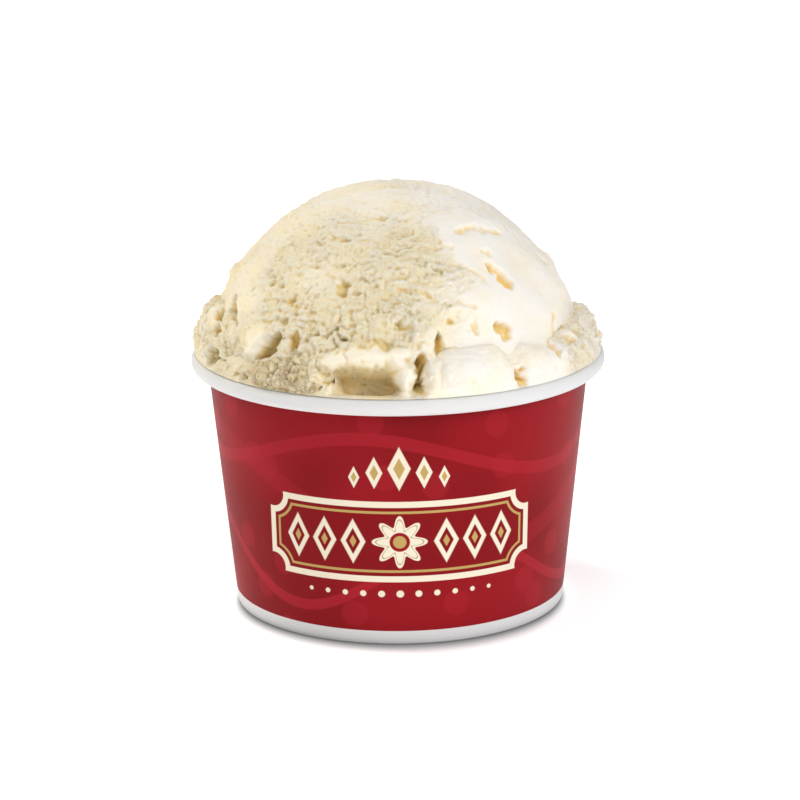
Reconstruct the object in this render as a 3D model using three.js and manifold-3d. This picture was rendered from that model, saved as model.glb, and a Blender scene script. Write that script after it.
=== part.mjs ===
// A paper cup heaped with vanilla ice cream, in millimetres.
// +Z is up, the origin is the centre of the foot on the table, and the front faces -Y.
// An azimuth is an angle in degrees round +Z, 0 at the front and 90 at +X, the front's right.
//
// The cup is two pieces of paperboard: a wall rolled outwards at the rim and folded
// inwards at the foot, and a base disc whose turned-down edge is clamped in that fold.
// The ice cream is one mass: the fill that the cup holds, a torn collar that is pushed
// out over the rim, and a scooped ball whose lower lip overhangs part of the collar.

import * as THREE from 'three';
import { mergeVertices } from 'three/addons/utils/BufferGeometryUtils.js';
import Module from 'manifold-3d';

// Paperboard cup
const RIM_RADIUS = 48;
const CUP_HEIGHT = 59.8;
const FOOT_RADIUS = 38.3;
const BOARD = 0.5;
const BEAD_RADIUS = 2.1;
const HEM_HEIGHT = 5;
const BASE_HEIGHT = 5.6;
const GAP = 0.3;
const CUP_SEGMENTS = 72;

// Scooped ball
const BALL_RADIUS = 44.2;
const BALL_CENTRE = { x: -0.8, y: 0, z: 54 };
const BALL_SQUARENESS = 2.06;
const BALL_SEGMENTS = 88;
const BALL_ROWS = 30;
const BALL_FOOT_ELEVATION = -2;
const LIP_ELEVATION = 10;
const LIP_RAISED = 6;
const TUCK_ANGLE = 6;
const TUCK_DEPTH = 0.14;

// Pocket under the ball's lip at the front, by azimuth
const POCKET = { azimuth: -9.5, half: 9.5, ease: 2 };

// Collar and fill
const COLLAR_SEGMENTS = 96;
const COLLAR_HEART = { r: 40, z: 61 };
const COLLAR_INNER_RADIUS = 33;
const COLLAR_LIMIT = 47.7;
const COLLAR_INNER_DROP = 4;
const CREST_SETBACK = 2.6;
const CREST_SINK = 0.8;
const SEAT_GAP = 0.35;
const SEAT_END = 56;
const FACE_ROWS = 8;
const INSIDE_ROWS = 3;

// How much closer together the ice cream's columns stand at the front than on average
const FRONT_CROWDING = 0.4;

// Relief that covers everything: soft waves of two sizes
const WAVES = [
  { length: 15, height: 0.6, seed: 3 },
  { length: 6.5, height: 0.45, seed: 11 },
];

// Lumps on the collar: round tops between sharp creases, highest where it is most torn
const LUMPS = { length: 9, height: 2.6, seed: 5, base: 0.25 };

const degrees = THREE.MathUtils.degToRad;
const { lerp, smoothstep } = THREE.MathUtils;

// ---------------------------------------------------------------- cup

const bead = { r: RIM_RADIUS - BEAD_RADIUS, z: CUP_HEIGHT - BEAD_RADIUS };
const wallTopRadius = RIM_RADIUS - 2 * BEAD_RADIUS + BOARD;

function wallRadius(z) {
  return lerp(FOOT_RADIUS, wallTopRadius, z / bead.z);
}

// Points of a circle round (r, z) in the profile's plane, from one angle to another.
function arc(centre, radius, from, to, steps) {
  const points = [];
  for (let i = 0; i <= steps; i++) {
    const a = degrees(lerp(from, to, i / steps));
    points.push([centre.r + radius * Math.cos(a), centre.z + radius * Math.sin(a)]);
  }
  return points;
}

// A profile of [radius, height] points turned round +Z.
function turned(profile, segments) {
  const points = profile.map(([r, z]) => new THREE.Vector2(r, z));
  return new THREE.LatheGeometry(points, segments).rotateX(Math.PI / 2);
}

// The wall's section: up the outside, round the curl's inner face to its loose end,
// back round its outer face, down the inside and round the hem at the foot.
function cupWall() {
  const curlEnd = -160;
  const hemOuter = (z) => wallRadius(z) - 2 * BOARD - 2 * GAP;
  const profile = [
    [wallRadius(0), 0],
    [wallRadius(bead.z / 2), bead.z / 2],
    ...arc(bead, BEAD_RADIUS - BOARD, 180, curlEnd, 10),
    ...arc(bead, BEAD_RADIUS, curlEnd, 180, 12),
    [wallRadius(HEM_HEIGHT + 1) - BOARD, HEM_HEIGHT + 1],
    [wallRadius(BOARD) - BOARD, BOARD],
    [hemOuter(BOARD), BOARD],
    [hemOuter(HEM_HEIGHT), HEM_HEIGHT],
    [hemOuter(HEM_HEIGHT) - BOARD, HEM_HEIGHT],
    [hemOuter(0) - BOARD, 0],
    [wallRadius(0), 0],
  ];
  return turned(profile, CUP_SEGMENTS);
}

// The base: a flat disc with its edge turned down into the slot behind the wall.
function cupBase() {
  const edge = (z) => wallRadius(z) - BOARD - GAP;
  const flangeFoot = BOARD + GAP;
  const profile = [
    [0, BASE_HEIGHT],
    [edge(BASE_HEIGHT) - BOARD, BASE_HEIGHT],
    [edge(flangeFoot) - BOARD, flangeFoot],
    [edge(flangeFoot), flangeFoot],
    [edge(BASE_HEIGHT + BOARD), BASE_HEIGHT + BOARD],
    [0, BASE_HEIGHT + BOARD],
  ];
  return turned(profile, CUP_SEGMENTS);
}

// ---------------------------------------------------------------- ice cream

// The collar round the cup. At each azimuth: the height of its crest, how far out its face
// reaches, how much it leans back on the ball (0 stands free, 1 lies on it), and how torn it is.
const COLLAR = [
  { azimuth: -98, crest: 71, reach: 46.8, lean: 0.6, torn: 1 },
  { azimuth: -80, crest: 73.6, reach: 47.2, lean: 0.45, torn: 0.8 },
  { azimuth: -66, crest: 72.4, reach: 47, lean: 0.4, torn: 0.8 },
  { azimuth: -55, crest: 68, reach: 46.8, lean: 0.8, torn: 0.8 },
  { azimuth: -47, crest: 64, reach: 46.9, lean: 1, torn: 1 },
  { azimuth: -40, crest: 66.5, reach: 47.2, lean: 1, torn: 1 },
  { azimuth: -35, crest: 68.2, reach: 47.2, lean: 1, torn: 1 },
  { azimuth: -27, crest: 67.2, reach: 47, lean: 1, torn: 0.9 },
  { azimuth: -21, crest: 66, reach: 46.4, lean: 1, torn: 0.5 },
  { azimuth: -17.5, crest: 58.6, reach: 45.3, lean: 0, torn: 0.3 },
  { azimuth: -2, crest: 58.6, reach: 45.3, lean: 0, torn: 0.3 },
  { azimuth: 2.4, crest: 62.5, reach: 46.6, lean: 0.7, torn: 0.2 },
  { azimuth: 5.8, crest: 62.5, reach: 45.8, lean: 1, torn: 0.3 },
  { azimuth: 9.5, crest: 67, reach: 47.2, lean: 0.7, torn: 0.2 },
  { azimuth: 17, crest: 69.2, reach: 47.2, lean: 0.6, torn: 0.15 },
  { azimuth: 30, crest: 69, reach: 47.2, lean: 0.6, torn: 0.15 },
  { azimuth: 36, crest: 66.2, reach: 46.4, lean: 0.7, torn: 0.3 },
  { azimuth: 40, crest: 68, reach: 47.1, lean: 0.4, torn: 0.15 },
  { azimuth: 50, crest: 66.8, reach: 47, lean: 0.5, torn: 0.2 },
  { azimuth: 58, crest: 68.4, reach: 47.1, lean: 0.5, torn: 0.7 },
  { azimuth: 72, crest: 69.8, reach: 47.3, lean: 0.3, torn: 0.8 },
  { azimuth: 90, crest: 69.4, reach: 47.2, lean: 0.4, torn: 0.8 },
  { azimuth: 108, crest: 66.5, reach: 46.4, lean: 1, torn: 0.8 },
  { azimuth: 128, crest: 70.5, reach: 47, lean: 0.5, torn: 1 },
  { azimuth: 150, crest: 66.5, reach: 46.9, lean: 1, torn: 0.8 },
  { azimuth: 172, crest: 70, reach: 47, lean: 0.7, torn: 0.6 },
  { azimuth: 196, crest: 66, reach: 46.6, lean: 1, torn: 1 },
  { azimuth: 216, crest: 69, reach: 47, lean: 0.8, torn: 1 },
  { azimuth: 238, crest: 66.5, reach: 46.8, lean: 1, torn: 0.8 },
];

// Broad flats of the ball, each round a place given as [azimuth, height].
const BALL_SWELLS = [
  { at: [-98, 75], reach: 7, rise: -1.5 },
  { at: [-112, 90], reach: 8, rise: -0.7 },
  { at: [103, 81.5], reach: 6, rise: -1.9 },
];

// Strokes of relief. Each runs from one place to another, given as [azimuth, height],
// and fades out over its width; a rise below zero is a crevice or hollow.
const BALL_STROKES = [
  // the lip that overhangs the pocket at the front, and its leg on the right
  { from: [-20, 66.4], to: [-13, 67.6], width: 2.2, rise: 2.2 },
  { from: [-13, 67.6], to: [0, 68], width: 2.2, rise: 2.4 },
  { from: [0, 68], to: [3.4, 65.5], width: 2.2, rise: 2.6 },
  { from: [3.4, 65.5], to: [3, 59.5], width: 1.9, rise: 3 },
  { from: [8, 67.5], to: [7.6, 59.5], width: 1.7, rise: -4 },
  // the arch at the left, with the hollow under it, then a rib and a groove
  { from: [-34, 71.8], to: [-38.5, 72.5], width: 1.7, rise: 1.2 },
  { from: [-38.5, 72.5], to: [-45, 69.7], width: 1.8, rise: 1.2 },
  { from: [-45, 69.7], to: [-50.5, 63.5], width: 2, rise: 1.2 },
  { from: [-38.6, 70.8], to: [-45, 64.6], width: 1.5, rise: -3.6 },
  { from: [-35.8, 71.5], to: [-36.2, 67], width: 1.2, rise: 0.9 },
  { from: [-33.2, 71.8], to: [-33, 67.5], width: 1.3, rise: -2.4 },
  { from: [-28, 70.5], to: [-20, 70], width: 1.8, rise: 0.8 },
  // ledge across the middle, and the pit under its left end
  { from: [-20, 83.5], to: [2, 85.5], width: 3, rise: 1 },
  { from: [-22, 80.8], to: [-17.5, 81.8], width: 1.8, rise: -1.6 },
  // the scoop's lip and the notch below it at the upper right
  { from: [30, 93], to: [68, 91], width: 2.6, rise: 0.6 },
  { from: [36, 91.2], to: [62, 89.4], width: 1.2, rise: -0.8 },
  { from: [42, 84.8], to: [46, 79.2], width: 1.5, rise: -2.4 },
  // grooves and the three-cornered notch at the right of the middle
  { from: [13.2, 71.8], to: [14, 67.4], width: 1.5, rise: -2.8 },
  { from: [14, 67.6], to: [20.5, 68.9], width: 1.5, rise: -2.6 },
  { from: [36.2, 73.2], to: [39, 69.8], width: 1.5, rise: -2.4 },
  { from: [8, 74], to: [10, 73], width: 2, rise: 1 },
  // creases, ledges and pits round the sides and the back
  { from: [-69, 75], to: [-60.5, 66.5], width: 1.8, rise: -2 },
  { from: [66, 68.5], to: [59, 65.5], width: 1.5, rise: -2.4 },
  { from: [96, 80], to: [128, 74], width: 2.8, rise: 1.3 },
  { from: [100, 76.5], to: [126, 71], width: 2.4, rise: -1.4 },
  { from: [140, 88], to: [172, 90], width: 3, rise: 1 },
  { from: [150, 82], to: [160, 77], width: 2.4, rise: -2 },
  { from: [186, 76], to: [214, 79], width: 2.8, rise: 1.2 },
  { from: [190, 72.5], to: [210, 74.5], width: 2.4, rise: -1.6 },
  { from: [232, 86], to: [240, 79], width: 2.4, rise: -1.6 },
  { from: [250, 76], to: [272, 79], width: 2.6, rise: 0.9 },
];

const COLLAR_STROKES = [
  // lumps and pits of the ragged left side
  { from: [-84, 71], to: [-78, 71], width: 3, rise: 1.4 },
  { from: [-64, 72], to: [-60, 72], width: 1.8, rise: -2.2 },
  { from: [-70, 69.5], to: [-66, 69], width: 1.8, rise: -1.8 },
  { from: [-56, 69.5], to: [-53.5, 66], width: 1.6, rise: -2.4 },
  { from: [-67, 63.5], to: [-63, 62.5], width: 2, rise: -1.8 },
  { from: [-49.5, 66], to: [-47, 61], width: 1.4, rise: -2 },
  // the crumbling heap at the left front, and the pillar at its right
  { from: [-42, 64], to: [-34, 65], width: 3, rise: 0.9 },
  { from: [-26, 68.5], to: [-24.6, 63.5], width: 1.7, rise: 1.6 },
  { from: [-21.4, 67.5], to: [-21.2, 61.5], width: 1.7, rise: -3 },
  // crevices between the slabs on the right
  { from: [5.9, 68], to: [6.1, 58], width: 1.9, rise: -4 },
  { from: [-8, 58.5], to: [-5, 60.5], width: 1.6, rise: 1.6 },
  { from: [34.6, 67], to: [37.4, 59.5], width: 1.4, rise: -3.2 },
  { from: [14, 66], to: [30, 66], width: 4, rise: 0.6 },
  { from: [42, 66.5], to: [54, 66.5], width: 3, rise: 0.8 },
  // the lump at the right edge, its pits and the crease beside it
  { from: [59, 70.5], to: [62, 70], width: 2, rise: -2.2 },
  { from: [68, 69.5], to: [70, 69], width: 2, rise: -2 },
  { from: [53, 70.5], to: [49.5, 67.8], width: 1.5, rise: -2 },
  { from: [84, 67], to: [92, 67], width: 3.4, rise: 1 },
  // torn gaps and pits along the back
  { from: [101, 69], to: [103, 61], width: 2.2, rise: -2.4 },
  { from: [122, 66], to: [125, 66], width: 2.4, rise: -1.8 },
  { from: [145, 69], to: [147, 61], width: 2, rise: -3 },
  { from: [168, 64], to: [172, 66], width: 2.4, rise: 1.2 },
  { from: [192, 68], to: [194, 61], width: 2.2, rise: -2.6 },
  { from: [216, 65], to: [222, 67], width: 2.4, rise: -1.8 },
  { from: [238, 68], to: [236, 61], width: 2, rise: -2.6 },
  { from: [255, 66], to: [262, 68], width: 3, rise: 1.2 },
];

// No stroke is drawn narrower than the faces can show, and a crevice keeps this share of its
// width at its ends.
const LEAST_WIDTH = 2.2;
const END_SHARE = 0.35;

// Odd multipliers that scatter a lattice place over 32 bits
const MIX = { x: 73856093, y: 19349663, z: 83492791, seed: 2654435761, first: 739982445, second: 695872825 };

// A number from -1 to 1 for each corner of a cubic lattice, by mixing its whole-number place.
function latticeValue(x, y, z, seed) {
  let bits = Math.imul(x, MIX.x) ^ Math.imul(y, MIX.y) ^ Math.imul(z, MIX.z) ^ Math.imul(seed, MIX.seed);
  bits = Math.imul(bits ^ (bits >>> 15), MIX.first);
  bits = Math.imul(bits ^ (bits >>> 12), MIX.second);
  return ((bits ^ (bits >>> 15)) >>> 0) / 2 ** 31 - 1;
}

// Lattice values blended smoothly between the corners, for a point and a wavelength.
function wave(point, { length, seed }) {
  const cell = [point.x, point.y, point.z].map((c) => Math.floor(c / length));
  const [u, v, w] = [point.x, point.y, point.z].map((c, i) => smoothstep(c / length - cell[i], 0, 1));
  const corner = (i, j, k) => latticeValue(cell[0] + i, cell[1] + j, cell[2] + k, seed);
  const alongX = (j, k) => lerp(corner(0, j, k), corner(1, j, k), u);
  return lerp(lerp(alongX(0, 0), alongX(1, 0), v), lerp(alongX(0, 1), alongX(1, 1), v), w);
}

function waves(point) {
  return WAVES.reduce((sum, each) => sum + each.height * wave(point, each), 0);
}

// A point at a radius from the cup's axis, an azimuth and a height.
function place(radius, azimuth, height) {
  const a = degrees(azimuth);
  return new THREE.Vector3(radius * Math.sin(a), -radius * Math.cos(a), height);
}

// The highest ridge and the deepest crevice of the strokes at a point. A crevice is steeper
// than a ridge, and its width tapers towards both ends. Surface gives the
// undisturbed place of [azimuth, height].
function strokeRise(point, strokes, surface) {
  let ridge = 0;
  let crevice = 0;
  for (const stroke of strokes) {
    const line = new THREE.Line3(surface(...stroke.from), surface(...stroke.to));
    const t = line.closestPointToPointParameter(point, true);
    const gap = point.distanceTo(line.at(t, new THREE.Vector3()));
    if (stroke.rise > 0) {
      ridge = Math.max(ridge, stroke.rise * Math.exp(-((gap / Math.max(stroke.width, LEAST_WIDTH)) ** 2)));
    } else {
      const taper = lerp(END_SHARE, 1, Math.sqrt(1 - (2 * t - 1) ** 2));
      const width = Math.max(stroke.width * taper, LEAST_WIDTH);
      crevice = Math.min(crevice, stroke.rise * Math.exp(-((gap / width) ** 4)));
    }
  }
  return ridge + crevice;
}

// The sum of the swells at a point, each fading out over its reach.
function swellRise(point, swells, surface) {
  return swells.reduce((sum, { at, reach, rise }) => {
    return sum + rise * Math.exp(-((point.distanceTo(surface(...at)) / reach) ** 2));
  }, 0);
}

// The undisturbed ball: a sphere drawn a little towards a square, from its centre.
function ballReach(elevation) {
  const n = BALL_SQUARENESS;
  const side = Math.abs(Math.cos(degrees(elevation))) ** n;
  const top = Math.abs(Math.sin(degrees(elevation))) ** n;
  return BALL_RADIUS * (side + top) ** (-1 / n);
}

function ballRadius(height) {
  const n = BALL_SQUARENESS;
  return (BALL_RADIUS ** n - Math.abs(height - BALL_CENTRE.z) ** n) ** (1 / n);
}

function ballPlace(azimuth, height) {
  return place(ballRadius(height), azimuth, height).add(new THREE.Vector3(BALL_CENTRE.x, BALL_CENTRE.y, 0));
}

// 1 across the pocket, 0 beyond its sides.
function pocket(azimuth) {
  const { half, ease } = POCKET;
  return smoothstep(-Math.abs(azimuth - POCKET.azimuth), -half - ease, -half + ease);
}

// Below this elevation the ball is pulled in; it is highest over the pocket.
function lipElevation(azimuth) {
  return LIP_ELEVATION + LIP_RAISED * pocket(azimuth);
}

function collarAt(azimuth) {
  const turn = azimuth < COLLAR[0].azimuth ? azimuth + 360 : azimuth;
  const after = COLLAR.findIndex((entry) => entry.azimuth > turn);
  const next = after < 0 ? { ...COLLAR[0], azimuth: COLLAR[0].azimuth + 360 } : COLLAR[after];
  const last = COLLAR[(after < 0 ? COLLAR.length : after) - 1];
  const t = smoothstep(turn, last.azimuth, next.azimuth);
  const between = (key) => lerp(last[key], next[key], t);
  return { crest: between('crest'), reach: between('reach'), lean: between('lean'), torn: between('torn') };
}

function lumps(point, azimuth) {
  return collarAt(azimuth).torn * LUMPS.height * (Math.abs(wave(point, LUMPS)) - LUMPS.base);
}

// Where the collar's strokes run: upright on its reach.
function collarPlace(azimuth, height) {
  return place(collarAt(azimuth).reach, azimuth, height);
}

// Azimuth of a share from 0 to 1 of the way round, starting at the front.
function crowded(share) {
  return 360 * (share - (FRONT_CROWDING * Math.sin(2 * Math.PI * share)) / (2 * Math.PI));
}

// A closed lathe whose rows run from the axis round the outside and back to the axis;
// placeRow then sets each vertex from its row's number and its azimuth.
function shapedLathe(rowCount, segments, placeRow) {
  const profile = [];
  for (let row = 0; row < rowCount; row++) {
    profile.push(new THREE.Vector2(Math.sin((Math.PI * row) / (rowCount - 1)), row));
  }
  const geometry = new THREE.LatheGeometry(profile, segments);
  const position = geometry.attributes.position;
  for (let i = 0; i < position.count; i++) {
    const azimuth = crowded(Math.floor(i / rowCount) / segments);
    const point = placeRow(i % rowCount, azimuth > 180 ? azimuth - 360 : azimuth);
    position.setXYZ(i, point.x, point.y, point.z);
  }
  return geometry;
}

// The ball's vertices: rows of equal elevation, pulled in below the lip and raised by the relief.
function ballVertex(row, azimuth) {
  const foot = row === 0;
  const elevation = foot ? BALL_FOOT_ELEVATION : lerp(BALL_FOOT_ELEVATION, 90, (row - 1) / (BALL_ROWS - 2));
  const reach = ballReach(elevation);
  const radius = row === BALL_ROWS - 1 ? 0 : reach * Math.cos(degrees(elevation));
  const drop = reach * Math.sin(degrees(elevation));
  const centre = new THREE.Vector3(BALL_CENTRE.x, BALL_CENTRE.y, BALL_CENTRE.z);
  if (foot) {
    return centre.setZ(BALL_CENTRE.z + drop * (1 - TUCK_DEPTH));
  }
  const offset = place(radius, azimuth, drop);
  const point = offset.clone().add(centre);
  const tuck = smoothstep(lipElevation(azimuth) - elevation, 0, TUCK_ANGLE);
  const relief = strokeRise(point, BALL_STROKES, ballPlace) + swellRise(point, BALL_SWELLS, ballPlace);
  const rise = waves(point) + relief;
  const scale = 1 - TUCK_DEPTH * tuck + (rise * (1 - tuck)) / reach;
  return offset.multiplyScalar(scale).add(centre);
}

// The fill's rows inside the cup and over the rolled rim, as [radius, height].
const seatRadius = BEAD_RADIUS + SEAT_GAP;
const fillEdge = (z) => wallRadius(z) - BOARD - GAP;
const fillBottom = BASE_HEIGHT + BOARD + GAP;
const FILL_ROWS = [
  [0, fillBottom],
  [fillEdge(fillBottom), fillBottom],
  [fillEdge(bead.z / 2), bead.z / 2],
  ...arc(bead, seatRadius, 180, SEAT_END, 4),
];

const COLLAR_ROWS = FILL_ROWS.length + FACE_ROWS + INSIDE_ROWS + 1;

// The collar's face above the rim: a bulging curve up to its crest, then over and down inside the ball.
function collarCurve(azimuth) {
  const { crest, reach, lean } = collarAt(azimuth);
  const [edgeRadius, edgeHeight] = FILL_ROWS.at(-1);
  const rise = crest - edgeHeight;
  const crestRadius = lerp(reach - CREST_SETBACK, ballRadius(crest) - CREST_SINK, lean);
  const face = new THREE.CubicBezierCurve(
    new THREE.Vector2(edgeRadius, edgeHeight),
    new THREE.Vector2(reach, edgeHeight + 0.3 * rise),
    new THREE.Vector2(lerp(reach + 0.4, crestRadius + 1.4, lean), edgeHeight + 0.8 * rise),
    new THREE.Vector2(crestRadius, crest),
  );
  const inside = new THREE.QuadraticBezierCurve(
    new THREE.Vector2(crestRadius, crest),
    new THREE.Vector2(crestRadius - CREST_SETBACK, crest + 0.6),
    new THREE.Vector2(COLLAR_INNER_RADIUS, crest - COLLAR_INNER_DROP),
  );
  return { face, inside };
}

// Holds a collar point inside the cup's greatest radius and off the rolled rim.
function clearOfRim(radius, height) {
  const r = Math.min(radius, COLLAR_LIMIT) - bead.r;
  const z = height - bead.z;
  const away = Math.max(1, seatRadius / Math.hypot(r, z));
  return [Math.min(bead.r + r * away, COLLAR_LIMIT), bead.z + z * away];
}

function collarVertex(row, azimuth) {
  if (row < FILL_ROWS.length) {
    return place(FILL_ROWS[row][0], azimuth, FILL_ROWS[row][1]);
  }
  if (row === COLLAR_ROWS - 1) {
    return new THREE.Vector3(0, 0, BALL_CENTRE.z);
  }
  const { face, inside } = collarCurve(azimuth);
  const step = row - FILL_ROWS.length + 1;
  const point = step <= FACE_ROWS
    ? face.getPoint(step / FACE_ROWS)
    : inside.getPoint((step - FACE_ROWS) / INSIDE_ROWS);
  const outward = new THREE.Vector2(point.x - COLLAR_HEART.r, point.y - COLLAR_HEART.z).normalize();
  const surface = place(point.x, azimuth, point.y);
  const rise = waves(surface) + lumps(surface, azimuth) + strokeRise(surface, COLLAR_STROKES, collarPlace);
  const fade = Math.min(1, step / 2);
  point.addScaledVector(outward, rise * fade);
  const [radius, height] = clearOfRim(point.x, point.y);
  return place(radius, azimuth, height);
}

const wasm = await Module();
wasm.setup();

// Merges a lathe's seam and poles and drops the triangles that close up there.
function solidFrom(geometry) {
  geometry.deleteAttribute('normal');
  geometry.deleteAttribute('uv');
  const merged = mergeVertices(geometry, 1e-3);
  const corners = Array.from(merged.index.array);
  const kept = [];
  for (let i = 0; i < corners.length; i += 3) {
    const [a, b, c] = corners.slice(i, i + 3);
    if (a !== b && b !== c && c !== a) {
      kept.push(a, b, c);
    }
  }
  const mesh = new wasm.Mesh({
    numProp: 3,
    vertProperties: new Float32Array(merged.attributes.position.array),
    triVerts: new Uint32Array(kept),
  });
  return new wasm.Manifold(mesh);
}

function geometryFrom(solid) {
  const { vertProperties, triVerts } = solid.getMesh();
  const geometry = new THREE.BufferGeometry();
  geometry.setAttribute('position', new THREE.BufferAttribute(vertProperties, 3));
  geometry.setIndex(new THREE.BufferAttribute(triVerts, 1));
  return geometry;
}

function iceCream() {
  const ball = solidFrom(shapedLathe(BALL_ROWS, BALL_SEGMENTS, ballVertex));
  const collar = solidFrom(shapedLathe(COLLAR_ROWS, COLLAR_SEGMENTS, collarVertex));
  return geometryFrom(ball.add(collar));
}

// ---------------------------------------------------------------- assembly

function piece(name, geometry, color, roughness) {
  const material = new THREE.MeshStandardMaterial({ color, roughness, metalness: 0 });
  const mesh = new THREE.Mesh(geometry, material);
  mesh.name = name;
  return mesh;
}

const iceCreamCup = new THREE.Group();
iceCreamCup.add(
  piece('cup_wall', cupWall(), 0x9b1f2c, 0.45),
  piece('cup_base', cupBase(), 0xf2efe9, 0.6),
  piece('ice_cream', iceCream(), 0xece0c4, 0.55),
);

export default iceCreamCup;
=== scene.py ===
import math

import bpy
import numpy as np
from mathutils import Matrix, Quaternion, Vector


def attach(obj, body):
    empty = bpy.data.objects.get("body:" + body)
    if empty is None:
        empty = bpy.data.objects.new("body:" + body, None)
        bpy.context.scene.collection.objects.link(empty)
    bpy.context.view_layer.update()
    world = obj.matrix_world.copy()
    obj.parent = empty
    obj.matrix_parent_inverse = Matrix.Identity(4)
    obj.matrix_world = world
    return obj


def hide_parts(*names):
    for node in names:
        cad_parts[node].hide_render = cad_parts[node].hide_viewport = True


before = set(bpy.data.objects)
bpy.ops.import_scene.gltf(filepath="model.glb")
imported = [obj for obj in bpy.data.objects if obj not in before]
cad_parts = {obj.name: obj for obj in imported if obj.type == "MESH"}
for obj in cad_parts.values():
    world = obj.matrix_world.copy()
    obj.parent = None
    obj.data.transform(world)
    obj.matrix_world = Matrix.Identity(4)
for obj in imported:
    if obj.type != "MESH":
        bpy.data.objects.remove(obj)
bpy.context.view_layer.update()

MM = 0.001


# ------------------------------------------------------------------------------------------------
# Camera. A long lens at arm's length and a little above the rim, as in the photograph. It aims at
# the cup's axis just under the ice cream and is rolled by half a degree.

SIGHT_ELEVATION = math.radians(15.15)
SIGHT_ROLL = math.radians(-0.57)
SIGHT_DISTANCE = 0.8
SIGHT_AIM = Vector((0.37, 0.0, 46.88)) * MM
LENS = 154.3
CLIP_START = 0.01


def shown(name, data):
    """A new object of that data, in the scene."""
    made = bpy.data.objects.new(name, data)
    bpy.context.scene.collection.objects.link(made)
    return made


sight = Vector((0.0, math.cos(SIGHT_ELEVATION), -math.sin(SIGHT_ELEVATION)))
camera_data = bpy.data.cameras.new("camera")
camera_data.lens = LENS
camera_data.clip_start = CLIP_START
camera = shown("camera", camera_data)
camera.rotation_mode = "QUATERNION"
camera.rotation_quaternion = sight.to_track_quat("-Z", "Y") @ Quaternion((0, 0, 1), SIGHT_ROLL)
camera.location = SIGHT_AIM - SIGHT_DISTANCE * sight
bpy.context.scene.camera = camera
bpy.context.scene.view_settings.view_transform = "Standard"


# ------------------------------------------------------------------------------------------------
# Table and lights. A white table top with no edge in view, so bright that the lamps' shade hardly
# shows on it, with a narrow shadow painted on it in front of the cup's foot. A key light at the
# right, a warm one that rakes over the cream from the left, a little behind, weaker ones in front,
# above and behind, and an even room.

TABLE_SIZE = 6.0
TABLE_WHITE, PAINTED_SHADOW_BLACK = (0.92, 0.92, 0.92, 1), (0, 0, 0, 1)
TABLE_GLOW = 0.48
ROOM_LIGHT = 0.15
# The shadow painted on the table: the foot's circle, how far forward it is moved, its blur and its
# darkness
PAINTED_SHADOW_RADIUS, PAINTED_SHADOW_SHIFT = 38.3, 3.6
PAINTED_SHADOW_REACH, PAINTED_SHADOW_DARKNESS = 1.3, 0.88

# The Mix node's sockets for colours, which share their names with its others
MIX_SHARE, MIX_FIRST, MIX_SECOND, MIX_RESULT = 0, 6, 7, 2


class Wire:
    """One output in a material's nodes. + - * / with wires and numbers add Math nodes, the named
    methods add nodes that recur, and node() adds any."""

    def __init__(self, tree, output=None):
        self.tree = tree
        self.output = output

    def node(self, kind, settings=None, inputs=None, output=0):
        """Adds a node, with its settings and with values or wires for its sockets."""
        made = self.tree.nodes.new(kind)
        for key, value in (settings or {}).items():
            setattr(made, key, value)
        for key, value in (inputs or {}).items():
            plug(made.inputs[key], value)
        return Wire(self.tree, made.outputs[output])

    def maths(self, operation, *others, clamp=False):
        """A Math node on this wire, and on another value where the operation takes two."""
        settings = {"operation": operation, "use_clamp": clamp}
        return self.node("ShaderNodeMath", settings, dict(enumerate((self, *others))))

    def __add__(self, other):
        return self.maths("ADD", other)

    def __sub__(self, other):
        return self.maths("SUBTRACT", other)

    def __mul__(self, other):
        return self.maths("MULTIPLY", other)

    def __truediv__(self, other):
        return self.maths("DIVIDE", other)

    def size(self):
        return self.maths("ABSOLUTE")

    def step(self, low, high):
        """0 where the wire is below low and 1 above high; high may be the smaller."""
        inputs = {"Value": self, "From Min": low, "From Max": high}
        return self.node("ShaderNodeMapRange", {"interpolation_type": "SMOOTHSTEP"}, inputs)

    def mix(self, colour, other):
        """colour where this wire is 0, other where it is 1."""
        inputs = {MIX_SHARE: self, MIX_FIRST: colour, MIX_SECOND: other}
        return self.node("ShaderNodeMix", {"data_type": "RGBA"}, inputs, MIX_RESULT)

    def parts(self, axes):
        """The parts of a place along each of the axes, in millimetres."""
        return [
            self.node("ShaderNodeSeparateXYZ", None, {"Vector": self}, axis) / MM for axis in axes
        ]

    def noise(self, scale, detail, roughness=0.5):
        """Smooth noise over a place."""
        inputs = {"Vector": self, "Scale": scale, "Detail": detail, "Roughness": roughness}
        return self.node("ShaderNodeTexNoise", None, inputs, "Fac")

    def bump(self, strength, distance):
        """The normal of a surface on which this wire is the height."""
        inputs = {"Strength": strength, "Distance": distance, "Height": self}
        return self.node("ShaderNodeBump", None, inputs)


def plug(socket, value):
    """Links a wire to a socket, or sets the socket to a plain value."""
    if isinstance(value, Wire):
        value.tree.links.new(value.output, socket)
    else:
        socket.default_value = value


def new_paint(name):
    """A material with an empty Principled shader, that shader, and the wire of the place on the
    object."""
    material = bpy.data.materials.new(name)
    material.use_nodes = True
    shader = material.node_tree.nodes["Principled BSDF"]
    place = Wire(material.node_tree).node("ShaderNodeTexCoord", output="Object")
    return material, shader, place


def feed(shader, **sockets):
    """Plugs wires and values into the shader's sockets. In their names _ stands for a space."""
    for name, value in sockets.items():
        plug(shader.inputs[name.replace("_", " ")], value)


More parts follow.
